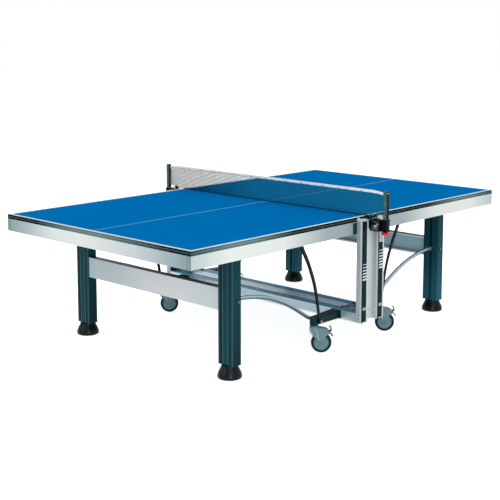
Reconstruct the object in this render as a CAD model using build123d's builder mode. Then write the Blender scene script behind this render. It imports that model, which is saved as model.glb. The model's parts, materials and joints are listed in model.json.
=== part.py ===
from build123d import *
import math
import os

# Folding table-tennis table in two halves on a wheeled centre chassis, in millimetres.
# Origin on the floor under the net, X along the length, Y across, Z up.
# The near half is at x < 0 and the far half at x > 0. Left is +Y, right is -Y.
# "u" is the distance from the net plane, so x = s * u with s = -1 near and +1 far.

os.makedirs("parts", exist_ok=True)

# Driving dimensions
half_len = 1370.0
half_wid = 762.5
top_z = 760.0
board_t = 25.0
board_gap = 2.0  # from the net plane to each board's inner edge
under_z = top_z - board_t

apron_h = 70.0
apron_d = 25.0
apron_wall = 2.5
apron_z0 = under_z - apron_h
apron_u0 = 88.0
cap_len = 33.0

post_u0 = 45.0
post_u1 = 105.0
post_y0 = 777.0
post_y1 = 815.0
post_z0 = 159.0
post_z1 = 744.0
post_wall = 3.0

leg_u = 940.0
leg_y = 597.0
leg_du = 64.0
leg_dy = 110.0
leg_z0 = 73.0
slot_w = 18.0

arm_u1 = 327.0
arm_y = 635.0
arm_w = 48.0
arm_z0 = 164.0
arm_z1 = 211.0
arm_tip_z = 202.0  # height of the arm's outer end
arm_roof_z = 197.0  # top of the channel inside the arm
arm_wall = 4.0

beam_u = 105.0
beam_z1 = 213.0

wheel_r = 58.0
wheel_w = 28.0
caster_u = 300.0
trail = 40.0
trail_dir = (0.685, -0.728)
crown_z = 146.0
fork_half = 22.0  # half the fork's width
cheek_t = 3.5
tyre_gap = 10.0  # from the tyre's tread to the hood over it
pedal_pivot = (84.0, 120.0)  # trail and height
pedal_pin_r = 3.0

pin_r = 6.0
run_fit = 0.05  # radial clearance of every pin in its bore

release_z = 219.5
wire_r = 2.5
release_apex_y = 705.0
release_knob = (55.0, 640.0)

# Folding linkage. The pin slides down the posts while the board turns 90 degrees about it.
pin_u = 75.0
pin_z = 745.0
travel = 445.0
leg_tilt = 20.0  # the legs end this far from vertical, feet outward
shaft_z = 695.0
shaft_r = 12.0
link_y = 664.0
link_t = 8.0
link_foot = (292.0, 185.0)
link_top_z = 700.0
stay_leg = (932.0, 412.0)
stay_arm_z = 180.0
stay_y = leg_y
stay_r = 11.0

# The link's upper pivot is placed so that its length is the same flat and folded.
_b = link_top_z - pin_z
_c = pin_z - travel - link_foot[1]
_k = link_foot[0] - pin_u
link_a = (_k**2 + (link_top_z - link_foot[1])**2 - (_k + _b)**2 - _c**2) / (2 * (_k + _c))
link_top = (pin_u + link_a, link_top_z)

# The stay's arm pivot is equally far from its leg pivot flat and folded.
_t = math.radians(leg_tilt)
_du = stay_leg[0] - leg_u
_dz = stay_leg[1] - shaft_z
_fu = pin_u + pin_z - shaft_z + _du * math.cos(_t) - _dz * math.sin(_t)
_fz = pin_z - travel + leg_u - pin_u + _du * math.sin(_t) + _dz * math.cos(_t)
stay_arm_u = (
    stay_leg[0]**2 + stay_leg[1]**2 - _fu**2 - _fz**2 - 2 * stay_arm_z * (stay_leg[1] - _fz)
) / (2 * (stay_leg[0] - _fu))
stay_arm = (stay_arm_u, stay_arm_z)

halves = (("near", -1), ("far", 1))
sides = (("left", 1), ("right", -1))


def block(xs, ys, zs, mode=Mode.ADD):
    """A box between two limits on each axis."""
    mid = [(p[0] + p[1]) / 2 for p in (xs, ys, zs)]
    size = [abs(p[1] - p[0]) for p in (xs, ys, zs)]
    with Locations(tuple(mid)):
        Box(*size, mode=mode)


def rod_y(x, z, r, ys, mode=Mode.ADD):
    """A round bar along Y."""
    with Locations((x, (ys[0] + ys[1]) / 2, z)):
        Cylinder(r, abs(ys[1] - ys[0]), rotation=(90, 0, 0), mode=mode)


def rod_z(x, y, r, zs, mode=Mode.ADD):
    """A round bar along Z."""
    with Locations((x, y, (zs[0] + zs[1]) / 2)):
        Cylinder(r, abs(zs[1] - zs[0]), mode=mode)


def bar(p, q, r):
    """A round bar with rounded ends between two points."""
    line = Vector(*q) - Vector(*p)
    with Locations(Plane(origin=p, z_dir=line)):
        Cylinder(r, line.length, align=(Align.CENTER, Align.CENTER, Align.MIN))
    with Locations(p, q):
        Sphere(r)


def finish_part(part, name):
    """Label a finished piece and write its STEP file."""
    part.label = name
    export_step(part, f"parts/{name}.step")


# Boards: a flat slab with two fine grooves along its three outer edges.
for half, s in halves:
    with BuildPart() as board:
        block((s * board_gap, s * half_len), (-half_wid, half_wid), (under_z, top_z))
        fillet(board.edges().filter_by(Axis.Z), 1.5)
        for gz in (under_z + 8, under_z + 16):
            for t in (-1, 1):
                block((s * 30, s * half_len), (t * (half_wid - 1), t * (half_wid + 1)),
                      (gz, gz + 1.6), Mode.SUBTRACT)
            block((s * (half_len - 1), s * (half_len + 1)), (-half_wid, half_wid),
                  (gz, gz + 1.6), Mode.SUBTRACT)
    finish_part(board.part, f"{half}_board")

# Side aprons: C-channels open inward, with a hinge ear for the folding pin at the inner end,
# a closed outer end and a stud that carries the link.
for half, s in halves:
    for side, t in sides:
        y_in = t * (half_wid - apron_d)
        y_web = t * (half_wid - apron_wall)
        y_out = t * half_wid
        with BuildPart() as apron:
            xs = (s * (apron_u0 + 8), s * half_len)
            block(xs, (y_web, y_out), (apron_z0, under_z))
            block(xs, (y_in, y_out), (apron_z0, apron_z0 + apron_wall))
            block(xs, (y_in, y_out), (under_z - apron_wall, under_z))
            block((s * (half_len - apron_wall), s * half_len), (y_in, y_out), (apron_z0, under_z))
            block((s * apron_u0, s * (apron_u0 + cap_len)), (y_in, t * (half_wid + 6.5)),
                  (apron_z0 + 4, under_z))
            block((s * (pin_u - 13), s * (apron_u0 + cap_len)), (t * (half_wid + 0.5), t * (half_wid + 6.5)),
                  (under_z - 30, under_z))
            block((s * (pin_u - 13), s * (pin_u + 13)), (t * (half_wid + 0.5), t * (half_wid + 6.5)),
                  (under_z - 30, pin_z))
            rod_y(s * pin_u, pin_z, 13, (t * (half_wid + 0.5), t * (half_wid + 6.5)))
            rod_y(s * pin_u, pin_z, pin_r + run_fit, (t * half_wid, t * (half_wid + 8)), Mode.SUBTRACT)
            rod_y(s * link_top[0], link_top[1], pin_r, (y_web, t * (link_y - link_t / 2 - 3)))
        finish_part(apron.part, f"{half}_side_apron_{side}")

# End aprons: the same channel across the end, between the two side aprons.
for half, s in halves:
    with BuildPart() as end_apron:
        ys = (-(half_wid - apron_d - 0.5), half_wid - apron_d - 0.5)
        x_out = s * half_len
        x_in = s * (half_len - apron_d)
        block((s * (half_len - apron_wall), x_out), ys, (apron_z0, under_z))
        block((x_in, x_out), ys, (apron_z0, apron_z0 + apron_wall))
        block((x_in, x_out), ys, (under_z - apron_wall, under_z))
    finish_part(end_apron.part, f"{half}_end_apron")

# Leg shafts: a tube across each half that both legs swing on.
for half, s in halves:
    with BuildPart() as shaft:
        ys = (-(half_wid - apron_wall), half_wid - apron_wall)
        rod_y(s * leg_u, shaft_z, shaft_r, ys)
        rod_y(s * leg_u, shaft_z, shaft_r - 3, ys, Mode.SUBTRACT)
    finish_part(shaft.part, f"{half}_leg_shaft")

# Legs: an extruded section with a deep slot inward, two side chambers, flutes on both broad faces,
# and a top rounded about the shaft.
for half, s in halves:
    for side, t in sides:
        yc = t * leg_y
        u_in = leg_u - leg_du / 2
        u_out = leg_u + leg_du / 2
        z_slot = leg_z0 + 7
        z_top = shaft_z + leg_du / 2
        with BuildPart() as leg:
            block((s * u_in, s * u_out), (yc - leg_dy / 2, yc + leg_dy / 2), (leg_z0, shaft_z))
            fillet(leg.edges().filter_by(Axis.Z), 6)
            rod_y(s * leg_u, shaft_z, leg_du / 2, (yc - leg_dy / 2, yc + leg_dy / 2))
            block((s * (u_in - 1), s * (u_in + 40)), (yc - slot_w / 2, yc + slot_w / 2),
                  (z_slot, z_top + 1), Mode.SUBTRACT)
            for k in (-1, 1):
                block((s * (leg_u - 27), s * (leg_u + 27)), (yc + k * 20, yc + k * 50),
                      (z_slot + 4, shaft_z - 24), Mode.SUBTRACT)
                for f in (25, 37):
                    block((s * (u_in - 1), s * (u_in + 1)), (yc + k * f, yc + k * (f + 3)),
                          (leg_z0, z_top + 1), Mode.SUBTRACT)
                block((s * (u_out - 2), s * (u_out + 1)), (yc + k * 22, yc + k * 36),
                      (leg_z0, z_top + 1), Mode.SUBTRACT)
                block((s * (u_out - 1), s * (u_out + 1)), (yc + k * 6, yc + k * 8),
                      (leg_z0, z_top + 1), Mode.SUBTRACT)
            rod_y(s * leg_u, shaft_z, shaft_r + run_fit, (yc - leg_dy, yc + leg_dy), Mode.SUBTRACT)
            rod_z(s * leg_u, yc, pin_r + run_fit, (leg_z0 - 1, z_slot + 1), Mode.SUBTRACT)
            rod_y(s * stay_leg[0], stay_leg[1], 11, (yc + t * leg_dy / 2, yc + t * (leg_dy / 2 + 4)))
        finish_part(leg.part, f"{half}_leg_{side}")

# Leg beams: a C-channel open inward between the two legs of each half.
for half, s in halves:
    with BuildPart() as leg_beam:
        ys = (-(leg_y - leg_dy / 2), leg_y - leg_dy / 2)
        block((s * 962, s * 965), ys, (357, 478))
        block((s * 925, s * 965), ys, (357, 360))
        block((s * 925, s * 965), ys, (475, 478))
        block((s * 925, s * 928), ys, (357, 368))
        block((s * 925, s * 928), ys, (467, 478))
    finish_part(leg_beam.part, f"{half}_leg_beam")

# Feet: a full bell with a swivel collar and a short stem into the leg.
for half, s in halves:
    for side, t in sides:
        with BuildPart() as foot:
            with BuildSketch(Plane(origin=(s * leg_u, t * leg_y, 0), x_dir=(1, 0, 0), z_dir=(0, -1, 0))):
                with BuildLine():
                    flare = Spline((66, 9), (64, 22), (58, 38), (50, 54), (44.5, 68))
                    Polyline(flare @ 1, (44, 70.5), (30, 70.5), (30, 72.5), (6, 72.5), (6, 79.5), (0, 79.5),
                             (0, 0), (61, 0), (65, 4), flare @ 0)
                make_face()
            revolve(axis=Axis((s * leg_u, t * leg_y, 0), (0, 0, 1)))
        finish_part(foot.part, f"{half}_foot_{side}")

# Links: flat curved bars, slimmer towards their lower end, from the side aprons to the caster arms.
link_path = (link_foot, (302, 258), (321, 348), (342, 420), (375, 500), (400, 550), (431, 602), link_top)
link_half = (7.5, 7.5, 8, 8.5, 9, 9.5, 10, 10.5)
link_edges = ([], [])
for i, (u, z) in enumerate(link_path):
    before = link_path[max(i - 1, 0)]
    after = link_path[min(i + 1, len(link_path) - 1)]
    run = math.dist(before, after)
    across = ((before[1] - after[1]) / run, (after[0] - before[0]) / run)
    for edge, k in zip(link_edges, (-1, 1)):
        edge.append((u + k * link_half[i] * across[0], z + k * link_half[i] * across[1]))
for half, s in halves:
    for side, t in sides:
        with BuildPart() as link:
            with BuildSketch(Plane.XZ.offset(-t * link_y)) as link_face:
                with BuildLine():
                    one = Spline(*[(s * u, z) for u, z in link_edges[0]])
                    two = Spline(*[(s * u, z) for u, z in link_edges[1]])
                    Line(one @ 0, two @ 0)
                    Line(one @ 1, two @ 1)
                make_face()
                with Locations((s * link_foot[0], link_foot[1]), (s * link_top[0], link_top[1])):
                    Circle(14)
            extrude(amount=link_t / 2, both=True)
            rod_y(s * link_top[0], link_top[1], pin_r + run_fit, (t * (link_y - 20), t * (link_y + 20)),
                  Mode.SUBTRACT)
            rod_y(s * link_foot[0], link_foot[1], 8, (t * link_y, t * (link_y + link_t / 2 + 5)))
        finish_part(link.part, f"{half}_link_{side}")

# Stays: round tubes, bowed upward, from the inner faces of the caster arms to the slots of the legs.
stay_path = ((296, 187.2), (484, 307.9), (635, 369.8), (763.5, 401.9), (868, 410.2))
stay_radii = (180, 1200, 700, 900)
for half, s in halves:
    for side, t in sides:
        with BuildPart() as stay:
            with BuildLine() as stay_line:
                FilletPolyline((s * stay_arm[0], t * stay_y, stay_arm[1]),
                               *[(s * u, t * stay_y, z) for u, z in stay_path], radius=stay_radii)
            with BuildSketch(Plane(origin=stay_line.line @ 0, z_dir=stay_line.line % 0)):
                Circle(stay_r)
            sweep()
            block((s * 858, s * stay_leg[0]), (t * leg_y - 7, t * leg_y + 7), (402, 421))
            rod_y(s * stay_leg[0], stay_leg[1], 9, (t * leg_y - 7, t * leg_y + 7))
            rod_y(s * stay_arm[0], stay_arm[1], 14, (t * (stay_y - stay_r), t * (stay_y + stay_r)))
            rod_y(s * stay_arm[0], stay_arm[1], pin_r + run_fit, (t * (stay_y - 20), t * (stay_y + 20)),
                  Mode.SUBTRACT)
        finish_part(stay.part, f"{half}_stay_{side}")

# Sliders: each half's pair of blocks inside the posts, with the folding pins that they carry.
slider_gap = 1.5  # to the inside of the post's walls
for half, s in halves:
    with BuildPart() as sliders:
        for side, t in sides:
            ys = (t * (post_y0 + post_wall + slider_gap), t * (post_y1 - post_wall - slider_gap))
            block((s * (pin_u - 26), s * (pin_u + 26)), ys, (pin_z - 55, pin_z + 8))
        fillet(sliders.edges().filter_by(Axis.Y), 4)
        for side, t in sides:
            rod_y(s * pin_u, pin_z, pin_r, (t * (half_wid + 0.3), t * 790))
    finish_part(sliders.part, f"{half}_sliders")

# Posts: rectangular tubes with a guide slot in the inner wall and a shallow channel in the outer.
for half, s in halves:
    for side, t in sides:
        with BuildPart() as post:
            block((s * post_u0, s * post_u1), (t * post_y0, t * post_y1), (post_z0, post_z1))
            fillet(post.edges().filter_by(Axis.Z), 2.5)
            block((s * (post_u0 + post_wall), s * (post_u1 - post_wall)),
                  (t * (post_y0 + post_wall), t * (post_y1 - post_wall)), (post_z0 + 6, post_z1 + 1), Mode.SUBTRACT)
            block((s * (pin_u - 8), s * (pin_u + 8)), (t * (post_y0 - 1), t * (post_y0 + 5)),
                  (pin_z - travel - 10, post_z1 + 1), Mode.SUBTRACT)
            block((s * (pin_u - 17.5), s * (pin_u + 17.5)), (t * (post_y1 - 1.5), t * (post_y1 + 1)),
                  (post_z0 + 5, post_z1 + 1), Mode.SUBTRACT)
        finish_part(post.part, f"{half}_post_{side}")

# Centre panels: thin recessed sheets between the two posts of each side.
for side, t in sides:
    with BuildPart() as panel:
        block((-post_u0, post_u0), (t * post_y0, t * (post_y0 + 3)), (post_z0, 740))
        for k in (-1, 1):
            block((k * (post_u0 - 3), k * post_u0), (t * post_y0, t * (post_y0 + 14)), (post_z0, 740))
        rod_y(0, release_z, wire_r + run_fit, (t * (post_y0 - 1), t * (post_y0 + 4)), Mode.SUBTRACT)
    finish_part(panel.part, f"centre_panel_{side}")

# Release handles: a wire triangle over the cross beam with a knob at each outer corner, and a rod
# that runs through the centre panel to the locks inside the posts.
for side, t in sides:
    with BuildPart() as release:
        knob_u, knob_y = release_knob
        apex = (0, t * release_apex_y, release_z)
        corners = [(k * (knob_u - 10), t * (knob_y + 8), release_z) for k in (-1, 1)]
        bar(apex, (0, t * (post_y0 + 20), release_z), wire_r)
        bar(corners[0], corners[1], wire_r)
        for k, corner in zip((-1, 1), corners):
            bar(apex, corner, wire_r)
            bar(corner, (k * knob_u, t * knob_y, release_z), wire_r)
            with Locations((k * knob_u, t * knob_y, release_z)):
                Sphere(6)
    finish_part(release.part, f"release_handle_{side}")

# Cross beam: two box sections side by side with a groove between them, from post to post.
with BuildPart() as cross_beam:
    ys = (-post_y0, post_y0)
    block((-beam_u, beam_u), ys, (post_z0, beam_z1))
    for k in (-1, 1):
        block((k * 11, k * (beam_u - 3)), ys, (post_z0 + 3, beam_z1 - 3), Mode.SUBTRACT)
        for gz in (post_z0 + 17, post_z0 + 35):
            block((k * (beam_u - 1.2), k * (beam_u + 1)), ys, (gz, gz + 3), Mode.SUBTRACT)
    block((-8, 8), ys, (beam_z1 - 20, beam_z1 + 1), Mode.SUBTRACT)
finish_part(cross_beam.part, "cross_beam")

# Caster arms: channels open below with a rounded, lower outer end, a bearing boss underneath, a flange
# against the cross beam, and on the inner face a headed pin for the stay.
arm_round_u = arm_u1 - arm_w / 2
for half, s in halves:
    for side, t in sides:
        y0 = t * (arm_y - arm_w / 2)
        y1 = t * (arm_y + arm_w / 2)
        y_in = (t * (arm_y - arm_w / 2 + arm_wall), t * (arm_y + arm_w / 2 - arm_wall))
        floor_z = arm_z0 + arm_wall
        with BuildPart() as arm:
            with BuildSketch(Plane.XZ.offset(-t * arm_y)):
                Polygon((s * beam_u, arm_z0), (s * arm_round_u, arm_z0), (s * arm_round_u, arm_tip_z),
                        (s * beam_u, arm_z1), align=None)
            extrude(amount=arm_w / 2, both=True)
            rod_z(s * arm_round_u, t * arm_y, arm_w / 2, (arm_z0, arm_tip_z))
            block((s * (beam_u + 5), s * arm_round_u), y_in, (floor_z, arm_roof_z), Mode.SUBTRACT)
            rod_z(s * arm_round_u, t * arm_y, arm_w / 2 - arm_wall, (floor_z, arm_roof_z), Mode.SUBTRACT)
            block((s * (beam_u + 5), s * 258), y_in, (arm_z0 - 1, floor_z + 1), Mode.SUBTRACT)
            for y in (y0, y1):
                block((s * (beam_u + 14), s * 236), (y - 1.5, y + 1.5), (arm_z0 + 9, arm_roof_z - 1), Mode.SUBTRACT)
            rod_z(s * caster_u, t * arm_y, arm_w / 2 - 2, (crown_z + 10.3, arm_z0))
            rod_z(s * caster_u, t * arm_y, pin_r + run_fit, (crown_z, floor_z + 1), Mode.SUBTRACT)
            block((s * beam_u, s * (beam_u + 5)), (t * (arm_y - 36), t * (arm_y + 36)), (arm_z0, arm_z1 - 1))
            rod_y(s * stay_arm[0], stay_arm[1], 12, (y0, t * (stay_y + stay_r + 0.5)))
            rod_y(s * stay_arm[0], stay_arm[1], pin_r, (y0, t * (stay_y - stay_r - 4)))
            rod_y(s * stay_arm[0], stay_arm[1], 10, (t * (stay_y - stay_r - 0.5), t * (stay_y - stay_r - 5)))
        finish_part(arm.part, f"{half}_arm_{side}")

# Casters: a swivel fork with trail and a hood over the wheel, a wheel on an axle through it, and
# a brake pedal with an upper and a lower tip that rocks on a pin at the back of the hood.
swing = math.degrees(math.atan2(trail_dir[1], trail_dir[0]))
hood_r = wheel_r + tyre_gap
inside = fork_half - cheek_t
pivot_u, pivot_z = pedal_pivot
for half, s in halves:
    for side, t in sides:
        place = Plane(Location((s * caster_u, t * arm_y, 0), (0, 0, swing)))
        side_face = Plane(origin=place.origin, x_dir=place.x_dir, z_dir=-place.y_dir)
        with BuildPart(place) as fork:
            with BuildSketch(side_face):
                with BuildLine():
                    hood = Spline((26, crown_z), (60, 141), (79, 131), (91, 116))
                    Polyline(hood @ 1, (76, 106), (64, 94), (55, wheel_r + 3), (31, wheel_r - 12), (-7, 98),
                             (-25, 122), (-25, crown_z), hood @ 0)
                make_face()
                with Locations((trail, wheel_r)):
                    Circle(15)
            extrude(amount=fork_half, both=True)
            with Locations((trail, 0, wheel_r)):
                Cylinder(hood_r, 2 * inside, rotation=(90, 0, 0), mode=Mode.SUBTRACT)
            block((-7, trail + 24), (-inside, inside), (0, wheel_r + 24), Mode.SUBTRACT)
            block((pivot_u - 9, 100), (-inside, inside), (90, crown_z), Mode.SUBTRACT)
            rod_y(pivot_u, pivot_z, pedal_pin_r + run_fit, (-30, 30), Mode.SUBTRACT)
            rod_z(0, 0, 26, (crown_z, crown_z + 10))
            rod_z(0, 0, pin_r, (crown_z + 4, arm_z0 + 6))
            rod_y(trail, wheel_r, 5, (-26, 26))
        finish_part(fork.part, f"{half}_caster_fork_{side}")
        with BuildPart(place) as wheel:
            rod_y(trail, wheel_r, wheel_r, (-wheel_w / 2, wheel_w / 2))
            fillet(wheel.edges().filter_by(GeomType.CIRCLE), 5)
            for k in (-1, 1):
                rod_y(trail, wheel_r, 44, (k * 11, k * 17), Mode.SUBTRACT)
            rod_y(trail, wheel_r, 16, (-17, 17))
            rod_y(trail, wheel_r, 5 + run_fit, (-30, 30), Mode.SUBTRACT)
        finish_part(wheel.part, f"{half}_caster_wheel_{side}")
        with BuildPart(place) as pedal:
            with BuildSketch(side_face):
                with BuildLine():
                    Spline((pivot_u, pivot_z), (94, 128), (95, 142), (86, 153))
                trace(line_width=4)
                with BuildLine():
                    Line((pivot_u, pivot_z), (106, 95))
                trace(line_width=4)
            extrude(amount=15, both=True)
            rod_y(pivot_u, pivot_z, 5.5, (-inside + 0.5, inside - 0.5))
            rod_y(pivot_u, pivot_z, pedal_pin_r, (-fork_half - 2, fork_half + 2))
        finish_part(pedal.part, f"{half}_caster_pedal_{side}")

# Net posts: a square tube in a narrow socket outside the posts of each side, with a wider open clamp
# housing between them and a hollow tongue that holds it between the posts.
socket_y0 = 880.0
socket_y1 = 916.0
socket_half = 16.0
clamp_z0 = 686.0
clamp_z1 = 749.0
clamp_half = 36.0
clamp_wall = 5.0
for side, t in sides:
    y_in = t * (post_y1 + 0.5)
    y_mid = t * socket_y0
    with BuildPart() as net_post:
        block((-12.5, 12.5), (t * 887.5, t * 912.5), (clamp_z0 + 11, 912.5))
        fillet(net_post.edges().filter_by(Axis.Z), 3)
        block((-socket_half, socket_half), (y_in, t * socket_y1), (clamp_z0, clamp_z1))
        outer_edges = net_post.edges().filter_by(Axis.Z).filter_by_position(
            Axis.Y, t * socket_y1 - 0.1, t * socket_y1 + 0.1)
        fillet(outer_edges, 3)
        block((-clamp_half, clamp_half), (y_in, y_mid), (clamp_z0, clamp_z1))
        for k in (-1, 1):
            block((k * 4, k * (clamp_half + 1)), (y_in + t * clamp_wall, y_mid - t * clamp_wall),
                  (clamp_z0 + clamp_wall, clamp_z1 - clamp_wall), Mode.SUBTRACT)
        tongue = ((-post_u0 + 4, post_u0 - 4), (t * (post_y0 + 3), t * (post_y1 + 1)), (700, 739))
        block(*tongue)
        block((-post_u0 + 8, post_u0 - 8), (t * (post_y0 + 7), t * post_y1), (699, 735), Mode.SUBTRACT)
        rod_z(0, t * 897, 6 + run_fit, (clamp_z0 - 1, clamp_z0 + 21), Mode.SUBTRACT)
    finish_part(net_post.part, f"net_post_{side}")
    with BuildPart() as knob:
        rod_z(0, t * 897, 6, (clamp_z0 - 11, clamp_z0 + 19))
        rod_z(0, t * 897, 21, (clamp_z0 - 22, clamp_z0 - 5))
        chamfer(knob.edges().group_by(Axis.Z)[0], 4)
    finish_part(knob.part, f"net_knob_{side}")

# Net: the mesh with its top tape, between the two net posts.
with BuildPart() as net:
    block((-1, 1), (-887, 887), (762, 912))
    block((-2.5, 2.5), (-887, 887), (896, 912.5))
finish_part(net.part, "net")
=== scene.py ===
import bmesh
import bpy
import json
import math
from mathutils import Matrix, Vector


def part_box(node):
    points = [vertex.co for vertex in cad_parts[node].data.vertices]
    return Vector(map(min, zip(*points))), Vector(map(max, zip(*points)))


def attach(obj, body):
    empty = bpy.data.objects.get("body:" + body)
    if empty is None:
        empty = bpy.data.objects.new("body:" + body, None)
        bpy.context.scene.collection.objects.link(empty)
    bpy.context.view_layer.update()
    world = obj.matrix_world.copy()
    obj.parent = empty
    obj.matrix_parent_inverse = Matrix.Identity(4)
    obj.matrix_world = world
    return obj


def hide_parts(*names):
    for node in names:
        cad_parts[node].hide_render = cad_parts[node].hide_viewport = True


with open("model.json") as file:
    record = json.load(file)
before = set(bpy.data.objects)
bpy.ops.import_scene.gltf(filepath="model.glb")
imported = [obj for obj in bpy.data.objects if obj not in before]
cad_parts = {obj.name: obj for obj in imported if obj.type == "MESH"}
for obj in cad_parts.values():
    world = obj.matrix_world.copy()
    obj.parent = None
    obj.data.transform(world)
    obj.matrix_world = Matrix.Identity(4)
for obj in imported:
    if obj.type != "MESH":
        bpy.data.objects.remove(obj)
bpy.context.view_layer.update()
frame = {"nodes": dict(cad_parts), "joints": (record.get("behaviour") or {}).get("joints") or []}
NODES = frame["nodes"]
JOINTS = {joint["name"]: joint for joint in frame["joints"]}
HALVES = (("near", -1), ("far", 1))
SIDES = (("left", 1), ("right", -1))
MM = 0.001


def corners(node):
    """Lowest and highest corner of a CAD node, in millimetres."""
    low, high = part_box(node)
    return low / MM, high / MM


def pivot(joint):
    """Where a joint stands, in millimetres."""
    return Vector(JOINTS[joint]["pos_m"]) / MM


# Sizes in millimetres, read on the far left quarter. u is the distance from the net, y from the middle.
(post_u0, post_y0, post_z0), (post_u1, post_y1, post_z1) = corners("far_post_left")
post_u = (post_u0 + post_u1) / 2
arm_u0, arm_z1 = corners("far_arm_left")[0].x, corners("far_arm_left")[1].z
link_face = corners("far_link_left")[1].y
_, beam_y, beam_z1 = corners("cross_beam")[1]
caster_u, caster_y, _ = pivot("far_caster_left_turn")
axle = pivot("far_caster_left_roll") - Vector((caster_u, caster_y, 0))
brake = pivot("far_caster_left_press") - Vector((caster_u, caster_y, 0))
swing = math.atan2(axle.y, axle.x)
trail, wheel_r = axle.xy.length, axle.z
brake_u, brake_z = brake.xy.length, brake.z
leg_u, leg_y, _ = pivot("far_foot_left_turn")
leg_out = corners("far_leg_left")[1].y
leg_z0 = corners("far_leg_left")[0].z
knob_y = pivot("net_knob_left_turn").y
net_end = corners("net")[1].y - 3
net_z0, net_z1 = corners("net")[0].z + 1.5, corners("net")[1].z - 1.5
clamp_z0 = corners("net_post_left")[0].z
INSERT_HALF = 17.2


# ---------------------------------------------------------------- materials
def srgb(r, g, b):
    """A colour as it looks on a screen, 0 to 255, to the linear values that the shader takes."""
    out = []
    for v in (r, g, b):
        v /= 255.0
        out.append(v / 12.92 if v <= 0.04045 else ((v + 0.055) / 1.055) ** 2.4)
    return (*out, 1.0)


class Nodes:
    """Short calls that build a material's node tree."""

    def __init__(self, name, rough=0.5, metal=0.0, spec=0.5):
        self.mat = bpy.data.materials.new(name)
        self.mat.use_nodes = True
        self.tree = self.mat.node_tree
        self.bsdf = self.tree.nodes["Principled BSDF"]
        for key, value in (("Roughness", rough), ("Metallic", metal), ("Specular IOR Level", spec)):
            self.bsdf.inputs[key].default_value = value
        self.coord = self.tree.nodes.new("ShaderNodeTexCoord")

    def put(self, socket, value):
        if isinstance(value, bpy.types.NodeSocket):
            self.tree.links.new(value, socket)
        else:
            socket.default_value = value

    def math(self, op, a, b=0.0):
        n = self.tree.nodes.new("ShaderNodeMath")
        n.operation = op
        self.put(n.inputs[0], a)
        self.put(n.inputs[1], b)
        return n.outputs[0]

    def xyz(self, which="Object"):
        n = self.tree.nodes.new("ShaderNodeSeparateXYZ")
        self.put(n.inputs[0], self.coord.outputs[which])
        return n.outputs

    def noise(self, scale, detail=3.0, stretch=(1, 1, 1)):
        m = self.tree.nodes.new("ShaderNodeMapping")
        self.put(m.inputs["Vector"], self.coord.outputs["Object"])
        m.inputs["Scale"].default_value = stretch
        n = self.tree.nodes.new("ShaderNodeTexNoise")
        self.put(n.inputs["Vector"], m.outputs[0])
        n.inputs["Scale"].default_value = scale
        n.inputs["Detail"].default_value = detail
        return n.outputs["Fac"]

    def mix(self, fac, a, b):
        n = self.tree.nodes.new("ShaderNodeMix")
        n.data_type = "RGBA"
        self.put(n.inputs["Factor"], fac)
        self.put(n.inputs["A"], a)
        self.put(n.inputs["B"], b)
        return n.outputs["Result"]

    def ramp(self, value, lo, hi, out_lo=0.0, out_hi=1.0):
        n = self.tree.nodes.new("ShaderNodeMapRange")
        for s, v in zip(n.inputs[:5], (value, lo, hi, out_lo, out_hi)):
            self.put(s, v)
        return n.outputs[0]

    def blend(self, value, *stops):
        """A colour that passes through the given (place, colour) stops as the value grows."""
        first, last = stops[0][0], stops[-1][0]
        n = self.tree.nodes.new("ShaderNodeValToRGB")
        self.put(n.inputs[0], self.ramp(value, first, last))
        ramp = n.color_ramp.elements
        while len(ramp) < len(stops):
            ramp.new(0.5)
        for element, (place, colour) in zip(ramp, stops):
            element.position = (place - first) / (last - first)
            element.color = srgb(*colour)
        return n.outputs["Color"]

    def above(self, value, limit):
        return self.math("GREATER_THAN", value, limit)

    def between(self, value, lo, hi):
        return self.math("MULTIPLY", self.above(value, lo), self.math("LESS_THAN", value, hi))

    def outward(self, axis):
        """The normal's part along x or y, positive where the face looks away from the table's middle."""
        return self.math("MULTIPLY", self.xyz("Normal")[axis], self.math("SIGN", self.xyz()[axis]))

    def finish(self, colour, rough, grain, depth, stretch=(1, 1, 1), smudge=25.0):
        """Sets the colour, an uneven gloss between two roughness values, and a fine surface grain."""
        self.put(self.bsdf.inputs["Base Color"], colour)
        self.put(self.bsdf.inputs["Roughness"], self.ramp(self.noise(smudge, 4.0), 0.3, 0.7, *rough))
        bump = self.tree.nodes.new("ShaderNodeBump")
        bump.inputs["Strength"].default_value = depth
        bump.inputs["Distance"].default_value = 0.0002
        self.put(bump.inputs["Height"], self.noise(grain, 2.0, stretch))
        self.put(self.bsdf.inputs["Normal"], bump.outputs[0])
        return self.mat


LENGTHWISE = (0.05, 1, 1)
CROSSWISE = (1, 0.05, 1)
UPRIGHT = (1, 1, 0.05)


def coated(name, col, rough=0.4, metal=0.0, grain=900, depth=0.12, vary=0.03, spec=0.5, stretch=(1, 1, 1)):
    """A painted, plated or moulded finish with a slow variation of its colour."""
    m = Nodes(name, metal=metal, spec=spec)
    dark = tuple(c * (1 - 2.2 * vary) for c in col[:3]) + (1,)
    lite = tuple(min(1, c * (1 + 1.2 * vary)) for c in col[:3]) + (1,)
    colour = m.mix(m.ramp(m.noise(6.0, 4.0), 0.3, 0.7), dark, lite)
    return m.finish(colour, (max(0.03, rough - 0.05), rough + 0.07), grain, depth, stretch)


# Painted places in metres from the table's middle: the board's lines, end face and edge band, then the side
# apron's dark inner plate, end face, hinge ears and the seam seen at its end.
END_LINE_X, SIDE_LINE_Y, CENTRE_LINE_HALF = 1.350, 0.7425, 0.0028
BOARD_END_X, BAND_RIB_Z = 1.3685, (0.7446, 0.7509)
PLATE_X, BUTT_X = 0.1212, 1.36
EAR_Y, EAR_Z = 0.7628, 0.733
SEAM_Y = (0.7400, 0.7575)


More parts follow.
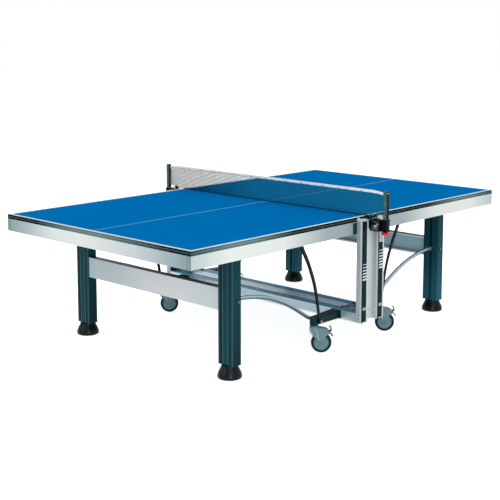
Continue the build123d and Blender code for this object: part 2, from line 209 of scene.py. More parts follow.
def board_material():
    """Matt blue top with white border and centre lines, a ribbed dark edge band and a grey underside."""
    m = Nodes("board_finish", spec=0.0)
    x, y, z = m.xyz()
    nz = m.xyz("Normal")[2]
    ax, ay = m.math("ABSOLUTE", x), m.math("ABSOLUTE", y)
    slow = m.ramp(m.noise(1.6, 3.0), 0.3, 0.7)
    blue = m.mix(slow, srgb(0, 105, 172), srgb(0, 109, 175))
    fleck = m.math("MULTIPLY", m.ramp(m.noise(900, 2.0), 0.35, 0.65), 0.10)
    blue = m.mix(fleck, blue, srgb(3, 119, 188))
    border = m.math("MAXIMUM", m.above(ax, END_LINE_X), m.above(ay, SIDE_LINE_Y))
    blue = m.mix(m.math("LESS_THAN", ay, CENTRE_LINE_HALF), blue, srgb(146, 172, 198))
    white = m.mix(m.ramp(m.noise(60, 4.0), 0.35, 0.65), srgb(206, 212, 216), srgb(222, 228, 230))
    top = m.mix(border, blue, white)
    # painted reflection: the band is paler along the middle of each side and about the middle of each end,
    # standing in for the light its gloss reflects
    side = m.math("MINIMUM", m.ramp(ax, 0.62, 0.92), m.ramp(ax, 1.10, 1.37, 1.0, 0.25))
    end = m.math("MINIMUM", m.ramp(y, 0.48, 0.18), m.ramp(y, -0.62, -0.08))
    on_end = m.above(ax, BOARD_END_X)
    painted_band_reflection = m.math("ADD", m.math("MULTIPLY", on_end, end),
                  m.math("MULTIPLY", m.math("SUBTRACT", 1.0, on_end), side))
    rib = m.mix(painted_band_reflection, srgb(46, 74, 76), srgb(112, 138, 142))
    edge = m.mix(painted_band_reflection, srgb(2, 14, 14), srgb(92, 120, 124))
    band = m.mix(m.between(z, *BAND_RIB_Z), edge, rib)
    under = m.mix(slow, srgb(134, 148, 154), srgb(144, 157, 163))
    colour = m.mix(m.above(nz, 0.5), band, top)
    colour = m.mix(m.math("LESS_THAN", nz, -0.5), colour, under)
    return m.finish(colour, (0.56, 0.68), 1300, 0.4)


def speckled(m, colour, amount=0.16):
    """Metal flakes in a silver paint."""
    speck = m.math("MULTIPLY", m.ramp(m.noise(420, 3.0), 0.35, 0.65), amount)
    return m.mix(speck, colour, srgb(160, 172, 176))


def side_apron_material():
    """Satin silver with a painted highlight along its outer half and painted shade on its inner face; a dark
    plate at the inner end with bright hinge ears.
    """
    m = Nodes("side_apron_silver", metal=0.1, spec=0.3)
    x, y, z = m.xyz()
    ax = m.math("ABSOLUTE", x)
    # painted highlight: the silver brightens along the outer half and dims towards the net and the end,
    # standing in for a satin sheen
    silver = m.blend(ax, (0.35, (150, 165, 170)), (0.70, (220, 225, 220)), (1.10, (225, 230, 225)),
                     (1.37, (180, 195, 195)))
    plate = m.math("LESS_THAN", ax, PLATE_X)
    ear = m.math("MULTIPLY", m.above(m.math("ABSOLUTE", y), EAR_Y), m.above(z, EAR_Z))
    colour = m.mix(ear, m.mix(plate, speckled(m, silver), srgb(24, 66, 70)), srgb(206, 213, 216))
    butt = m.math("MULTIPLY", m.above(m.outward(0), 0.5), m.above(ax, BUTT_X))
    seam = m.mix(m.between(m.math("ABSOLUTE", y), *SEAM_Y), srgb(44, 76, 80), srgb(122, 146, 152))
    colour = m.mix(butt, colour, seam)
    # painted shade: the inner face, under the board, is darker and bluer, darkest in its upper part
    inner = m.mix(m.above(z, 0.70), srgb(96, 122, 132), srgb(70, 96, 106))
    colour = m.mix(m.math("LESS_THAN", m.outward(1), -0.5), colour, inner)
    return m.finish(colour, (0.36, 0.50), 700, 0.18)


def end_apron_material():
    """Satin silver with a painted highlight about the middle of its length, and painted shade on its inner
    face.
    """
    m = Nodes("end_apron_silver", metal=0.1, spec=0.3)
    # painted highlight: brightest about the middle, dimming towards both corners
    silver = m.blend(m.xyz()[1], (-0.74, (120, 145, 150)), (-0.35, (190, 200, 205)), (0.10, (220, 225, 220)),
                     (0.34, (210, 220, 215)), (0.55, (165, 180, 185)), (0.74, (120, 145, 150)))
    # painted shade: the inner face is a darker blue grey
    colour = m.mix(m.math("LESS_THAN", m.outward(0), -0.5), speckled(m, silver), srgb(96, 122, 132))
    return m.finish(colour, (0.36, 0.50), 700, 0.18)


def end_beam_material():
    """Satin silver extrusion with a painted sheen along its length, painted shade on its flanges and top
    edge, and its inside painted bluer.
    """
    m = Nodes("end_beam_silver", metal=0.1, spec=0.35)
    x, y, z = m.xyz()
    # painted sheen: lighter at -y and about the middle, dimmer towards +y
    silver = m.blend(y, (-0.54, (190, 200, 205)), (-0.25, (210, 215, 215)), (0.02, (205, 210, 215)),
                     (0.30, (180, 190, 195)), (0.54, (170, 185, 190)))
    # painted shade: the inner faces take a blue cast, set paler to make up for the little light under the
    # board
    web = m.math("LESS_THAN", m.math("ABSOLUTE", x), 0.9285)
    inside = m.mix(web, srgb(160, 196, 212), srgb(206, 228, 238))
    colour = m.mix(m.math("LESS_THAN", m.outward(0), -0.5), speckled(m, silver, 0.1), inside)
    # painted shade: the flanges and the beam's top edge are dark, in the board's shadow
    flange_painted_shade = m.above(m.math("ABSOLUTE", m.xyz("Normal")[2]), 0.5)
    colour = m.mix(m.math("MAXIMUM", flange_painted_shade, m.above(z, 0.4752)), colour, srgb(8, 50, 60))
    return m.finish(colour, (0.32, 0.46), 600, 0.10, CROSSWISE)


def post_material(name, low, high, front):
    """Satin silver extrusion with painted shade: bluer on its narrow sides and darker towards their top, dark
    teal on the face towards the table's middle.
    """
    m = Nodes(name, metal=0.1, spec=0.12)
    x, y, z = m.xyz()
    trim = m.above(m.math("ABSOLUTE", y), (post_y1 - 10) * MM)
    # painted shade: the narrow sides darken towards the top, under the board
    sides = m.mix(trim, m.blend(z, (0.159, low), (0.744, high)), srgb(*front))
    # painted shade: the wall on the -x side of each insert is black, the shadow it lies in, like the insert's
    # black edge
    off = m.math("SUBTRACT", x, m.math("MULTIPLY", m.math("SIGN", x), post_u * MM))
    wall = m.math("MULTIPLY", m.above(m.math("ABSOLUTE", x), post_u0 * MM),
                  m.math("LESS_THAN", off, -INSERT_HALF * MM))
    outer = m.mix(wall, srgb(*front), srgb(4, 18, 22))
    colour = m.mix(m.above(m.math("ABSOLUTE", m.xyz("Normal")[0]), 0.5), outer, sides)
    # painted shade: the face towards the table's middle is dark teal
    colour = m.mix(m.math("LESS_THAN", m.outward(1), -0.5), speckled(m, colour, 0.08), srgb(20, 60, 66))
    return m.finish(colour, (0.30, 0.44), 700, 0.08, UPRIGHT)


def cross_beam_material():
    """Silver extrusion: a pale band between two blue-grey ones on top, painted paler than the faces against
    the board's shade, and a light lip under each side.
    """
    m = Nodes("cross_beam_silver", metal=0.5, spec=0.5)
    x, y, z = m.xyz()
    nz = m.xyz("Normal")[2]
    # painted light: the top's colours are set paler than the faces, to make up for the board's shade over it;
    # they also grow darker towards -y
    dark = m.mix(m.ramp(y, -0.7, 0.3), srgb(86, 164, 198), srgb(150, 196, 218))
    pale = m.mix(m.ramp(y, -0.7, 0.3), srgb(216, 240, 255), srgb(230, 246, 255))
    top = m.mix(m.above(m.math("ABSOLUTE", x), 0.038), pale, dark)
    face = m.mix(m.math("LESS_THAN", z, 0.1655), srgb(186, 206, 214), srgb(226, 234, 238))
    colour = m.mix(m.above(nz, 0.5), face, top)
    colour = m.mix(m.math("LESS_THAN", nz, -0.5), colour, srgb(110, 130, 138))
    return m.finish(colour, (0.32, 0.36), 700, 0.0, CROSSWISE, smudge=4.0)


def leg_material():
    """Dark teal extrusion: painted shade in its flutes, a painted highlight on their rims and along the broad
    face's edges, and painted light and shade low on its other faces.
    """
    m = Nodes("leg_teal", spec=0.05)
    x, y, z = m.xyz()
    off = m.math("ABSOLUTE", m.math("SUBTRACT", m.math("ABSOLUTE", y), leg_y * MM))
    broad = m.above(m.outward(0), 0.5)
    flat = m.mix(m.ramp(z, 0.1, 0.6), srgb(22, 72, 78), srgb(14, 62, 68))
    # painted shade darkens the flutes, and a painted highlight marks their rims
    front = m.mix(m.between(off, 0.0220, 0.0365), flat, srgb(6, 40, 44))
    front = m.mix(m.between(off, 0.0195, 0.0222), front, srgb(80, 128, 134))
    # painted highlight along both edges of the broad face, at the rounded corners
    front = m.mix(m.above(off, 0.0480), front, srgb(42, 88, 96))
    # painted light and shade: low down, the other faces are darker on the near legs and lighter and bluer on
    # the far legs
    low = m.mix(m.above(x, 0.0), srgb(12, 46, 50), srgb(34, 92, 108))
    side = m.mix(m.ramp(z, 0.1, 0.45), low, srgb(10, 62, 70))
    colour = m.mix(broad, side, front)
    grain = m.math("MULTIPLY", m.ramp(m.noise(6.0, 4.0), 0.3, 0.7), 0.10)
    return m.finish(m.mix(grain, colour, srgb(6, 36, 40)), (0.28, 0.40), 600, 0.05, UPRIGHT)


def net_post_material():
    """Black clamp and post, the post's narrow faces above the clamp painted a grey teal as painted light."""
    m = Nodes("net_post_coat", spec=0.06)
    z = m.xyz()[2]
    # painted light: the post's x-facing faces above the clamp are grey teal where light falls on them; the
    # rest is black
    side = m.above(m.math("ABSOLUTE", m.xyz("Normal")[0]), 0.5)
    pale = m.math("MULTIPLY", side, m.above(z, 0.7495))
    shade = m.mix(m.ramp(m.noise(20, 4.0), 0.3, 0.7), srgb(6, 11, 11), srgb(12, 19, 19))
    return m.finish(m.mix(pale, shade, srgb(66, 98, 98)), (0.34, 0.46), 500, 0.12)


def stay_material():
    """Round silver bar with painted light and shade: a painted highlight along its upper side, painted shade
    in dark teal below.
    """
    m = Nodes("stay_silver", metal=0.2, spec=0.4)
    # painted light and shade round the bar, by which way each face looks
    colour = m.blend(m.xyz("Normal")[2], (-0.9, (6, 40, 52)), (-0.35, (24, 76, 88)), (0.0, (120, 150, 160)),
                     (0.45, (190, 206, 212)), (0.80, (150, 174, 182)), (1.0, (70, 112, 122)))
    return m.finish(colour, (0.26, 0.34), 700, 0.02, LENGTHWISE)


def release_material():
    """Black wire with a bright end where it comes through the centre panel."""
    m = Nodes("release_coat", spec=0.06)
    bright = m.above(m.math("ABSOLUTE", m.xyz()[1]), post_y0 * MM)
    return m.finish(m.mix(bright, srgb(6, 13, 14), srgb(204, 211, 209)), (0.32, 0.42), 500, 0.1)


def thread_material():
    """Net cord with painted light: dark at the left end, teal where the board's blue shines through it."""
    m = Nodes("net_thread", spec=0.0)
    # painted light: the cord turns from dark at +y to teal at -y, for the board's blue light coming through
    # it
    colour = m.blend(m.xyz()[1], (0.10, (26, 104, 128)), (0.60, (16, 22, 20)))
    return m.finish(colour, (0.75, 0.85), 2500, 0.4)


# The level bars of the inserts: whose posts, how many, then in metres the first one's height, the pitch, the
# first one's thickness and how much thinner each next one is.
INSERT_BARS = (("near", 6, 0.404, 0.018, 0.0100, 0.0013), ("far", 7, 0.452, 0.017, 0.0095, 0.0009),
               ("far", 8, 0.606, 0.0105, 0.0062, 0.0))


def insert_material():
    """Dark strip with painted shade on its -x side and a plain design of level white bars, different on the
    near and the far posts.
    """
    m = Nodes("post_insert", spec=0.03)
    x, y, z = m.xyz()
    near = m.math("LESS_THAN", x, 0.0)
    off = m.math("SUBTRACT", x, m.math("MULTIPLY", m.math("SIGN", x), post_u * MM))
    teal = m.mix(m.ramp(m.noise(20, 4.0), 0.3, 0.7), srgb(2, 44, 54), srgb(6, 52, 62))
    # painted shade: the -x side of each insert is black, the shadow of its channel's wall
    base = m.mix(m.math("LESS_THAN", off, -0.005), teal, srgb(0, 3, 5))
    found = {"near": 0.0, "far": 0.0}
    for half, count, first, pitch, tall, less in INSERT_BARS:
        for k in range(count):
            z0 = first + pitch * k
            found[half] = m.math("MAXIMUM", found[half], m.between(z, z0, z0 + tall - less * k))
    bars = m.math("ADD", m.math("MULTIPLY", near, found["near"]),
                  m.math("MULTIPLY", m.math("SUBTRACT", 1.0, near), found["far"]))
    return m.finish(m.mix(bars, base, srgb(222, 226, 226)), (0.28, 0.42), 900, 0.12)


BOARD = board_material()
SIDE_APRON = side_apron_material()
END_APRON = end_apron_material()
END_BEAM = end_beam_material()
POST = post_material("post_silver", (180, 196, 201), (134, 157, 165), (202, 209, 208))
PANEL = post_material("centre_panel_silver", (176, 192, 198), (150, 172, 180), (206, 213, 210))
BEAM = cross_beam_material()
TEAL = leg_material()
NET_POST = net_post_material()
RELEASE = release_material()
INSERT = insert_material()
SILVER = coated("frame_silver", srgb(196, 206, 211), rough=0.36, metal=0.1, spec=0.35, stretch=UPRIGHT)
# painted light: the beam's pale cover and ribs are lifted like the beam's top, to make up for the board's
# shade
PALE = coated("beam_pale", srgb(222, 240, 252), rough=0.33, metal=0.5, depth=0.0, spec=0.35,
              stretch=CROSSWISE)
RIB = coated("beam_rib", srgb(104, 172, 204), rough=0.33, metal=0.5, depth=0.0, spec=0.35,
             stretch=CROSSWISE)
CLIP = coated("clip_grey", srgb(150, 172, 178), rough=0.36, metal=0.1)
ARM = coated("arm_dark_teal", srgb(12, 50, 56), rough=0.36, grain=500, spec=0.08)
BLACK = coated("black_coat", srgb(6, 13, 14), rough=0.36, grain=500, depth=0.2, spec=0.06)
# painted highlight: the link's centre rib is lighter than the black link
LINK_RIB_HIGHLIGHT = coated("link_rib_highlight", srgb(46, 62, 64), rough=0.34, grain=500, spec=0.3)
TUBE = stay_material()
ZINC = coated("bright_zinc", srgb(190, 196, 198), rough=0.26, metal=0.7, vary=0.06)
STEEL = coated("dull_steel", srgb(96, 120, 126), rough=0.36, metal=0.4, vary=0.06)
FOOT = coated("foot_black", srgb(3, 24, 24), rough=0.18, spec=0.14, grain=120, depth=0.04)
GREY = coated("caster_grey", srgb(106, 136, 144), rough=0.42, grain=400, spec=0.3)
HUB = coated("hub_grey", srgb(104, 138, 148), rough=0.40, grain=400, spec=0.3)
TYRE = coated("tyre_rubber", srgb(10, 40, 44), rough=0.6, grain=600, depth=0.3, spec=0.08)
BEAD = coated("tyre_bead", srgb(48, 88, 92), rough=0.6, grain=600, depth=0.3, spec=0.1)
# painted highlight: the fork's ribs are paler than the fork
FORK_RIB = coated("fork_rib_highlight", srgb(168, 190, 194), rough=0.42, grain=400, spec=0.3)
DARK = coated("dark_moulding", srgb(5, 16, 18), rough=0.42, grain=500, depth=0.2, spec=0.08)
RED = coated("knob_red", srgb(214, 12, 14), rough=0.34, grain=300, spec=0.25)
THREAD = thread_material()
CORD = coated("net_cord", srgb(12, 24, 24), rough=0.8, grain=2500, depth=0.6, spec=0.1)
TAPE = coated("net_tape", srgb(238, 236, 232), rough=0.75, grain=2200, depth=0.6, spec=0.2)


def dress(node, mat):
    """Give a carried-over CAD node its material."""
    data = NODES[node].data
    data.materials.clear()
    data.materials.append(mat)


PER_HALF = {"board": BOARD, "end_apron": END_APRON, "leg_shaft": BLACK, "leg_beam": END_BEAM,
            "sliders": SILVER}
PER_CORNER = {"side_apron": SIDE_APRON, "leg": TEAL, "foot": FOOT, "link": BLACK, "stay": TUBE, "post": POST,
              "arm": ARM, "caster_fork": GREY, "caster_wheel": TYRE, "caster_pedal": DARK}
PER_SIDE = {"centre_panel": PANEL, "net_post": NET_POST, "release_handle": RELEASE, "net_knob": RED}
for half, _ in HALVES:
    for part, mat in PER_HALF.items():
        dress(f"{half}_{part}", mat)
    for side, _ in SIDES:
        for part, mat in PER_CORNER.items():
            dress(f"{half}_{part}_{side}", mat)
for side, _ in SIDES:
    for part, mat in PER_SIDE.items():
        dress(f"{part}_{side}", mat)
dress("cross_beam", BEAM)
dress("net", THREAD)


# ---------------------------------------------------------------- shape helpers, all in millimetres
def piece(name, bm, mat, body, bevel=0.0, smooth=True, place=None):
    """Turns a bmesh in millimetres into a scene piece in metres that rides on a body."""
    bm.transform(Matrix.Scale(MM, 4))
    if place is not None:
        bm.transform(place)
    bmesh.ops.recalc_face_normals(bm, faces=bm.faces)
    data = bpy.data.meshes.new(name)
    bm.to_mesh(data)
    bm.free()
    data.materials.append(mat)
    if smooth:
        data.shade_smooth()
        data.set_sharp_from_angle(angle=math.radians(35))
    o = bpy.data.objects.new(name, data)
    bpy.context.scene.collection.objects.link(o)
    if bevel:
        mod = o.modifiers.new("edges", "BEVEL")
        mod.width = bevel * MM
        mod.segments = 2
        mod.limit_method = "ANGLE"
        mod.angle_limit = math.radians(40)
        mod.harden_normals = smooth
    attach(o, body)
    return o


def circle(r, n, start=0.0, turn=2 * math.pi):
    """Points about the origin, at even angles."""
    return [(r * math.cos(start + turn * i / n), r * math.sin(start + turn * i / n)) for i in range(n)]


def add_loft(bm, rings, caps=True):
    """Adds a skin over rings with equal numbers of points, closed at both ends."""
    rings = [[bm.verts.new(p) for p in ring] for ring in rings]
    for a, b in zip(rings, rings[1:]):
        for i in range(len(a)):
            j = (i + 1) % len(a)
            bm.faces.new((a[i], a[j], b[j], b[i]))
    if caps:
        bm.faces.new(rings[0][::-1])
        bm.faces.new(rings[-1])


def add_box(bm, xs, ys, zs):
    """Adds a box between two limits on each axis."""
    add_loft(bm, [[(xs[0], ys[0], z), (xs[1], ys[0], z), (xs[1], ys[1], z), (xs[0], ys[1], z)] for z in zs])


def add_slab(bm, outline, ys):
    """Adds a plate whose outline is given in x and z, between two y limits."""
    add_loft(bm, [[(x, y, z) for x, z in outline] for y in ys])


def add_lathe(bm, profile, centre, axis, seg=32):
    """Adds a turned shape: profile is (radius, height) pairs along the axis."""
    m = Matrix.Translation(centre) @ Vector(axis).to_track_quat("Z", "Y").to_matrix().to_4x4()
    rings = []
    for r, h in profile:
        around = circle(r, seg) if r > 1e-6 else [(0, 0)]
        rings.append([bm.verts.new(m @ Vector((x, y, h))) for x, y in around])
    for a, b in zip(rings, rings[1:]):
        for i in range(seg):
            j = (i + 1) % seg
            quad = list(dict.fromkeys([a[i % len(a)], a[j % len(a)], b[j % len(b)], b[i % len(b)]]))
            if len(quad) > 2:
                bm.faces.new(quad)


def add_peg(bm, centre, axis, r, h, seg=20):
    """Adds a round peg with a rounded rim."""
    add_lathe(bm, [(0, 0), (r, 0), (r, h * 0.8), (r * 0.9, h), (0, h)], centre, axis, seg)


def add_screw(bm, centre, axis, r, h):
    """Adds a domed screw head with a socket, on a washer."""
    washer = [(0, 0), (r * 1.45, 0), (r * 1.45, h * 0.22)]
    dome = [(r, h * 0.24), (r, h * 0.75), (r * 0.86, h * 0.95)]
    socket = [(r * 0.5, h), (r * 0.5, h * 0.55), (0, h * 0.55)]
    add_lathe(bm, washer + dome + socket, centre, axis, 24)


def along(points):
    """Each point of a line with the line's direction there."""
    points = [Vector(p) for p in points]
    last = len(points) - 1
    return [(p, (points[min(i + 1, last)] - points[max(i - 1, 0)]).normalized())
            for i, p in enumerate(points)]


def add_tube(bm, points, r, seg=10, caps=True):
    """Adds a round bar along a line of points. r is one radius, or one for each point."""
    rings = []
    side = None
    for i, (p, d) in enumerate(along(points)):
        if side is None:
            side = d.orthogonal().normalized()
        side = (side - d * side.dot(d)).normalized()
        other = d.cross(side)
        radius = r[i] if isinstance(r, list) else r
        rings.append([p + a * side + b * other for a, b in circle(radius, seg)])
    add_loft(bm, rings, caps)


def add_strip(bm, line, half, thick, across=(0, 1, 0)):
    """Adds a flat strip along a line. half is half its width at the start and at the end."""
    rings = []
    across = Vector(across)
    for i, (p, d) in enumerate(along(line)):
        w = half[0] + (half[1] - half[0]) * i / (len(line) - 1)
        lift = d.cross(across).normalized() * (thick / 2)
        rings.append([p - w * across + lift, p + w * across + lift,
                      p + w * across - lift, p - w * across - lift])
    add_loft(bm, rings)


def add_rib(bm, line, y, width, rise):
    """Adds a raised rib along a line in x and z, on a face at y that looks away from the middle."""
    k = math.copysign(1, y)
    rings = []
    for p, d in along([(x, 0, z) for x, z in line]):
        n = Vector((-d.z, 0, d.x)) * (width / 2)
        root, crest = Vector((0, y - k * 0.3, 0)), Vector((0, y + k * rise, 0))
        rings.append([p + n + root, p + 0.6 * n + crest, p - 0.6 * n + crest, p - n + root])
    add_loft(bm, rings)


def curve_points(points, n):
    """Points of a smooth Catmull-Rom line through the given ones."""
    p = [Vector(q) for q in points]
    p = [2 * p[0] - p[1], *p, 2 * p[-1] - p[-2]]
    out = []
    for i in range(1, len(p) - 2):
        a, b, c, d = p[i - 1:i + 3]
        for t in (k / n for k in range(n)):
            out.append(0.5 * (2 * b + (c - a) * t + (2 * a - 5 * b + 4 * c - d) * t * t
                              + (3 * b - a - 3 * c + d) * t ** 3))
    return out + [p[-2]]


# ---------------------------------------------------------------- net
CELL = 8.6
THREAD_R = 1.12
TAPE_H = 15.0
NET_STEPS = 90  # stretches that the level threads and the edge cord are bent from
TAPE_STEPS = 260
PULL = 95.0  # the last stretch at each end, where the posts draw the net's edges together
TOP_DROP = 8.0  # how far the upper edge comes down there
LOW_RISE = 20.0  # how far the lower edge goes up there
TOP_ROW = 8  # the highest level thread, below the net's upper edge
TUCK = 6  # the upper ends of the upright threads, below that edge
LACE_PITCH = 11
LOOPS = 10
LOOP_R = 2.4
BEADS = 7


def gather(y):
    """How far a place is into the drawn-in end of the net, from 0 to 1."""
    return max(0.0, (abs(y) - net_end + PULL) / PULL)


def net_top(y):
    """Height of the net's upper edge."""
    k = gather(y)
    return net_z1 - TOP_DROP * k * k


def net_low(y):
    """Height of the net's lower edge."""
    k = gather(y)
    return net_z0 + LOW_RISE * k * k


def spread(count):
    """Evenly spaced places from one end of the net to the other."""
    return [-net_end + 2 * net_end * i / count for i in range(count + 1)]


bm = bmesh.new()
for y in spread(round(2 * net_end / CELL)):
    square = [(a, y + b) for a, b in circle(THREAD_R * math.sqrt(2), 4, math.pi / 4)]
    add_loft(bm, [[(*p, z) for p in square] for z in (net_low(y), net_top(y) - TUCK)])
rows = round((net_z1 - TOP_ROW - net_z0) / CELL)
for k in range(rows + 1):
    line = [(0, y, net_low(y) + (net_top(y) - TOP_ROW - net_low(y)) * k / rows) for y in spread(NET_STEPS)]
    add_tube(bm, line, THREAD_R * math.sqrt(2), 4)
net_mesh = piece("net_mesh", bm, THREAD, "chassis", smooth=False)

bm = bmesh.new()
fold = [(1.1, -TAPE_H), (1.5, -9), (2.3, -3), (1.7, -0.6), (0, 0.4), (-1.7, -0.6), (-2.3, -3), (-1.5, -9),
        (-1.1, -TAPE_H), (-0.7, -TAPE_H), (0.7, -TAPE_H)]
rings = []
for y in spread(TAPE_STEPS):
    wave = 0.35 * math.sin(y * 0.11) + 0.25 * math.sin(y * 0.043 + 1.3)
    rings.append([(x + (wave if z < -5 else 0), y, net_top(y) + z + (0.3 * wave if z < -8 else 0))
                  for x, z in fold])
add_loft(bm, rings)
net_tape = piece("net_tape", bm, TAPE, "chassis")

bm = bmesh.new()
line = [(0, y, net_low(y) - 0.3 + 0.5 * math.sin(i * 0.7)) for i, y in enumerate(spread(NET_STEPS))]
add_tube(bm, line, 2.2, 8)
for t in (-1, 1):
    add_tube(bm, [(0, t * net_end, net_low(net_end)), (0, t * net_end, net_top(net_end) - 4)], 1.5, 8)
net_cord = piece("net_edge_cord", bm, CORD, "chassis")
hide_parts("net")

for side, t in SIDES:
    # white lacing: small rings up the net's end, and beads where its lower corner is drawn up
    bm = bmesh.new()
    for k in range(LOOPS):
        z = net_low(net_end) + 3 + LACE_PITCH * k
        ring = [(x, t * (net_end + y), z + x / 3) for x, y in circle(LOOP_R, 8)]
        add_tube(bm, ring + [(LOOP_R, t * net_end, z + 0.8)], 1.1, 6, caps=False)
    for k in range(BEADS):
        y = net_end - 12 - LACE_PITCH * k
        bead = [(-1.5, t * y, net_low(y) - 2), (0, t * (y + 2), net_low(y) + 3),
                (1.5, t * (y + 4), net_low(y) - 1)]
        add_tube(bm, bead, 1.6, 6)
    piece(f"net_loops_{side}", bm, TAPE, "chassis")

# ---------------------------------------------------------------- net posts, clamps and knobs
NET_POST_Y = 900.0
NET_POST_HALF = 12.5
NET_POST_SCREW_Z = 902
NET_POST_PEGS_Z = (772, 842)
NET_POST_CHANNEL_Z = (752, 892)
KNOB_LOBES = 9
KNOB_R = 19.5
KNOB_POINTS = 72
# share of the radius, and height from the housing's underside
KNOB_LEVELS = ((0.80, -21.5), (0.96, -19.5), (1.0, -16), (1.0, -9), (0.95, -6), (0.6, -5.2))
# as (y, z)
LEVER_LINE = [(822, 752.0), (834, 758.5), (850, 761.5), (866, 758.5), (882, 751.0)]
HOOK_LINE = [(817, 750), (819, 766), (829, 771), (838, 762)]
WORM = (840, 711)
CLAMP_PEGS = ((866, 728, 5, 20), (830, 735, 4, 22), (866, 699, 4, 18))  # y, z, radius and length
CLAMP_LEVERS = (([(24, 840, 711), (26, 854, 721), (24, 866, 728)], [4.6, 3.8, 4.6]),
                ([(22, 826, 697), (23, 846, 695), (21, 866, 699)], 2.4))  # line and radius
CLAMP_LINKS = (([(24, 830, 735), (26, 838, 725), (25, 848, 712)], [3.4, 3.0, 3.4]),
               ([(16, 824, 705), (18, 834, 716), (17, 846, 722)], 3.0))
CLAMP_PLATES = (((3.8, 6), (821, 874.5), (691.5, 743.5)), ((6, 26), (821, 825), (693, 716)),
                ((6, 33), (822, 873), (690.8, 693.6)))  # x, y and z limits


def mirrored(k, t, line):
    """The line's points turned to the side k along x and t along y."""
    return [(k * x, t * y, z) for x, y, z in line]


for side, t in SIDES:
    bm = bmesh.new()
    add_screw(bm, (0, t * (NET_POST_Y + NET_POST_HALF - 0.2), NET_POST_SCREW_Z), (0, t, 0), 3.0, 2.0)
    for z in NET_POST_PEGS_Z:
        add_peg(bm, (-NET_POST_HALF + 0.2, t * NET_POST_Y, z), (-1, 0, 0), 2.6, 1.6)
    piece(f"net_post_screws_{side}", bm, ZINC, "chassis")
    bm = bmesh.new()
    face_y = NET_POST_Y + NET_POST_HALF
    add_box(bm, (-7, 7), (t * (face_y - 0.3), t * (face_y + 0.7)), NET_POST_CHANNEL_Z)
    piece(f"net_post_channel_{side}", bm, DARK, "chassis", bevel=0.4)
    # a pale curved pull lever on top of the clamp, over a black hooked one
    bm = bmesh.new()
    add_strip(bm, curve_points([(0, t * y, z) for y, z in LEVER_LINE], 4), (15, 12), 2.4, (1, 0, 0))
    piece(f"clamp_lever_{side}", bm, SILVER, "chassis", bevel=0.8)
    bm = bmesh.new()
    add_strip(bm, curve_points([(0, t * y, z) for y, z in HOOK_LINE], 4), (9, 7), 5.0, (1, 0, 0))
    add_box(bm, (-33, 33), (t * 822, t * 878), (748.6, 751.4))
    piece(f"clamp_hook_{side}", bm, BLACK, "chassis", bevel=1.0)
    # worm screw and small levers inside the open housing
    bm = bmesh.new()
    for k in (-1, 1):
        add_lathe(bm, [(0, 0), (13, 0), (13, 14), (11, 17), (7, 18), (7, 23), (4, 25), (0, 25)],
                  (k * 4, t * WORM[0], WORM[1]), (k, 0, 0), 28)
        for y, z, r, h in CLAMP_PEGS:
            add_peg(bm, (k * 4, t * y, z), (k, 0, 0), r, h)
        for line, r in CLAMP_LEVERS:
            add_tube(bm, mirrored(k, t, line), r, 10)
    piece(f"clamp_mechanism_{side}", bm, ZINC, "chassis")
    bm = bmesh.new()
    for k in (-1, 1):
        for xs, ys, zs in CLAMP_PLATES:
            add_box(bm, (k * xs[0], k * xs[1]), (t * ys[0], t * ys[1]), zs)
    piece(f"clamp_plate_{side}", bm, STEEL, "chassis", bevel=0.5)
    bm = bmesh.new()
    for k in (-1, 1):
        for line, r in CLAMP_LINKS:
            add_tube(bm, mirrored(k, t, line), r, 10)
    add_box(bm, (-19, 19), (t * 882, t * 917.8), (clamp_z0 - 1.5, clamp_z0 + 5))
    add_box(bm, (-18, 18), (t * 883, t * 918), (746, 753))
    piece(f"clamp_rim_{side}", bm, BLACK, "chassis", bevel=1.5)
    bm = bmesh.new()
    lobed = [1 + 0.07 * math.cos(KNOB_LOBES * 2 * math.pi * i / KNOB_POINTS) for i in range(KNOB_POINTS)]
    add_loft(bm, [[(f * k * x, t * knob_y + f * k * y, clamp_z0 + z)
                   for k, (x, y) in zip(lobed, circle(KNOB_R, KNOB_POINTS))] for f, z in KNOB_LEVELS])
    add_tube(bm, [(0, t * knob_y, clamp_z0 - 7), (0, t * knob_y, clamp_z0 + 14)], 5.8, 16)
    knob = piece(f"clamp_knob_{side}", bm, RED, f"net_knob_{side}")
    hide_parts(f"net_knob_{side}")

